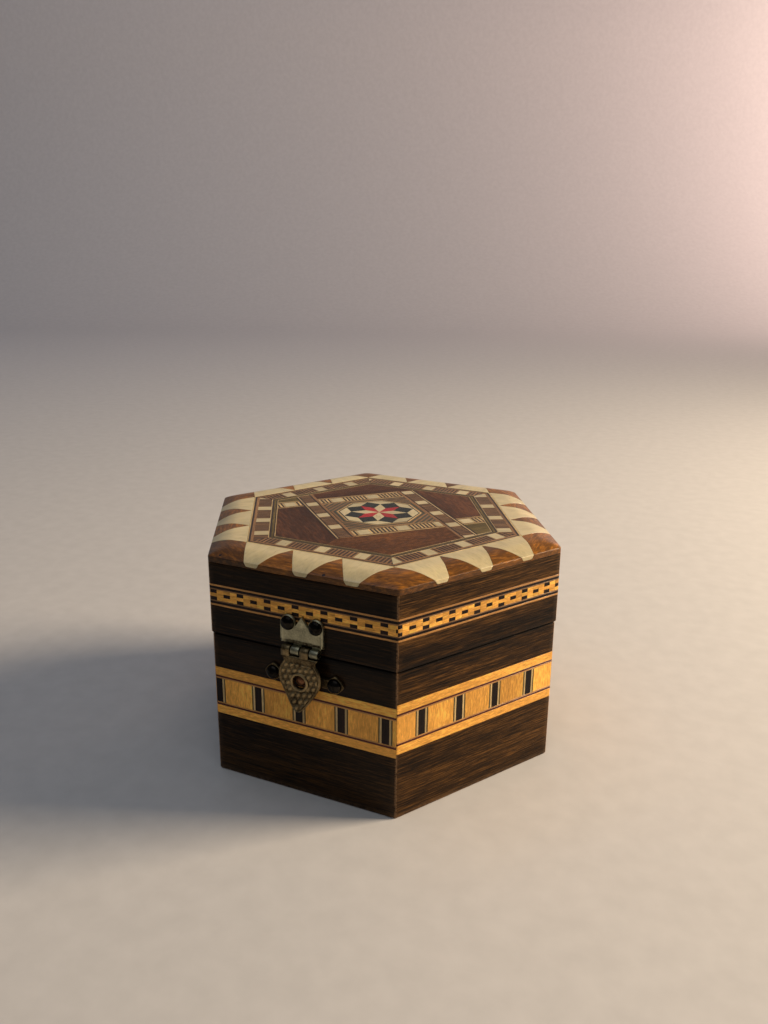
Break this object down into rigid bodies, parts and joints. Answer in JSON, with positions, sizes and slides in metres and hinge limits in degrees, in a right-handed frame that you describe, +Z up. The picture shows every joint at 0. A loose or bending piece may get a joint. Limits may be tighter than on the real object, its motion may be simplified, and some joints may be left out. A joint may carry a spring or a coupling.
{
  "type": "inlaid wooden box",
  "caption": "Six-sided marquetry box with a hinged lid, bone-toothed lid edge, star rosette top and a brass hasp latch.",
  "frame": {"origin": "centre of the box's underside, on the surface that it stands on", "axes": "+Z up, -Y towards the latch, +X to the right of someone who faces the latch, through two of the six corners"},
  "size_m": [0.1, 0.0932, 0.0601],
  "materials": {
    "veneer": "dark streaky veneer under gloss varnish",
    "carcass_wood": "plain board, sanded",
    "body_marquetry": "satinwood blocks with ebony bars, varnished",
    "checker_marquetry": "light and dark checker, varnished",
    "edge_wood": "orange-brown hardwood, polished",
    "bone": "cream bone, polished",
    "mahogany": "red-brown hardwood, varnished",
    "ladder_banding": "dark bars on tan with white squares, varnished",
    "star_marquetry": "dark green, red and cream star, varnished",
    "olive_wood": "olive-brown hardwood, varnished",
    "cloth": "dark red felt",
    "antique_brass": "antique brass, stamped and worn",
    "dark_brass": "blackened brass"
  },
  "bodies": {
    "box_body": {"body_wall_front": "veneer", "body_band_front": "body_marquetry", "body_wall_front_right": "veneer", "body_band_front_right": "body_marquetry", "body_wall_back_right": "veneer", "body_band_back_right": "body_marquetry", "body_wall_back": "veneer", "body_band_back": "body_marquetry", "body_wall_back_left": "veneer", "body_band_back_left": "body_marquetry", "body_wall_front_left": "veneer", "body_band_front_left": "body_marquetry", "body_floor": "carcass_wood", "body_floor_lining": "cloth", "catch_plate": "antique_brass", "hinge_left_body_leaf": "antique_brass", "hinge_right_body_leaf": "antique_brass", "catch_nail_left": "dark_brass", "catch_nail_right": "dark_brass", "hinge_left_pin": "dark_brass", "hinge_right_pin": "dark_brass"},
    "lid": {"lid_wall_front": "veneer", "lid_band_front": "checker_marquetry", "lid_edge_front": "edge_wood", "lid_teeth_front": "bone", "lid_wall_front_right": "veneer", "lid_band_front_right": "checker_marquetry", "lid_edge_front_right": "edge_wood", "lid_teeth_front_right": "bone", "lid_wall_back_right": "veneer", "lid_band_back_right": "checker_marquetry", "lid_edge_back_right": "edge_wood", "lid_teeth_back_right": "bone", "lid_wall_back": "veneer", "lid_band_back": "checker_marquetry", "lid_edge_back": "edge_wood", "lid_teeth_back": "bone", "lid_wall_back_left": "veneer", "lid_band_back_left": "checker_marquetry", "lid_edge_back_left": "edge_wood", "lid_teeth_back_left": "bone", "lid_wall_front_left": "veneer", "lid_band_front_left": "checker_marquetry", "lid_edge_front_left": "edge_wood", "lid_teeth_front_left": "bone", "lid_lining": "cloth", "lid_board": "mahogany", "lid_ring_banding": "ladder_banding", "lid_lattice_banding": "ladder_banding", "lid_star_tile": "star_marquetry", "lid_olive_field_right": "olive_wood", "lid_olive_field_left": "olive_wood", "latch_plate": "antique_brass", "hinge_left_lid_leaf": "antique_brass", "hinge_right_lid_leaf": "antique_brass", "latch_plate_nail_left": "dark_brass", "latch_plate_nail_right": "dark_brass", "latch_pin": "dark_brass"},
    "hasp": {"hasp": "antique_brass"}
  },
  "joints": [
    {"name": "lid_hinge", "type": "hinge", "parent": "box_body", "child": "lid", "pos_m": [0, 0.0449, 0.03848], "axis": [-1, 0, 0], "range_deg": [0, 165]},
    {"name": "hasp_swing", "type": "hinge", "parent": "lid", "child": "hasp", "pos_m": [0.001, -0.04475, 0.0395], "axis": [-1, 0, 0], "range_deg": [0, 140]}
  ]
}
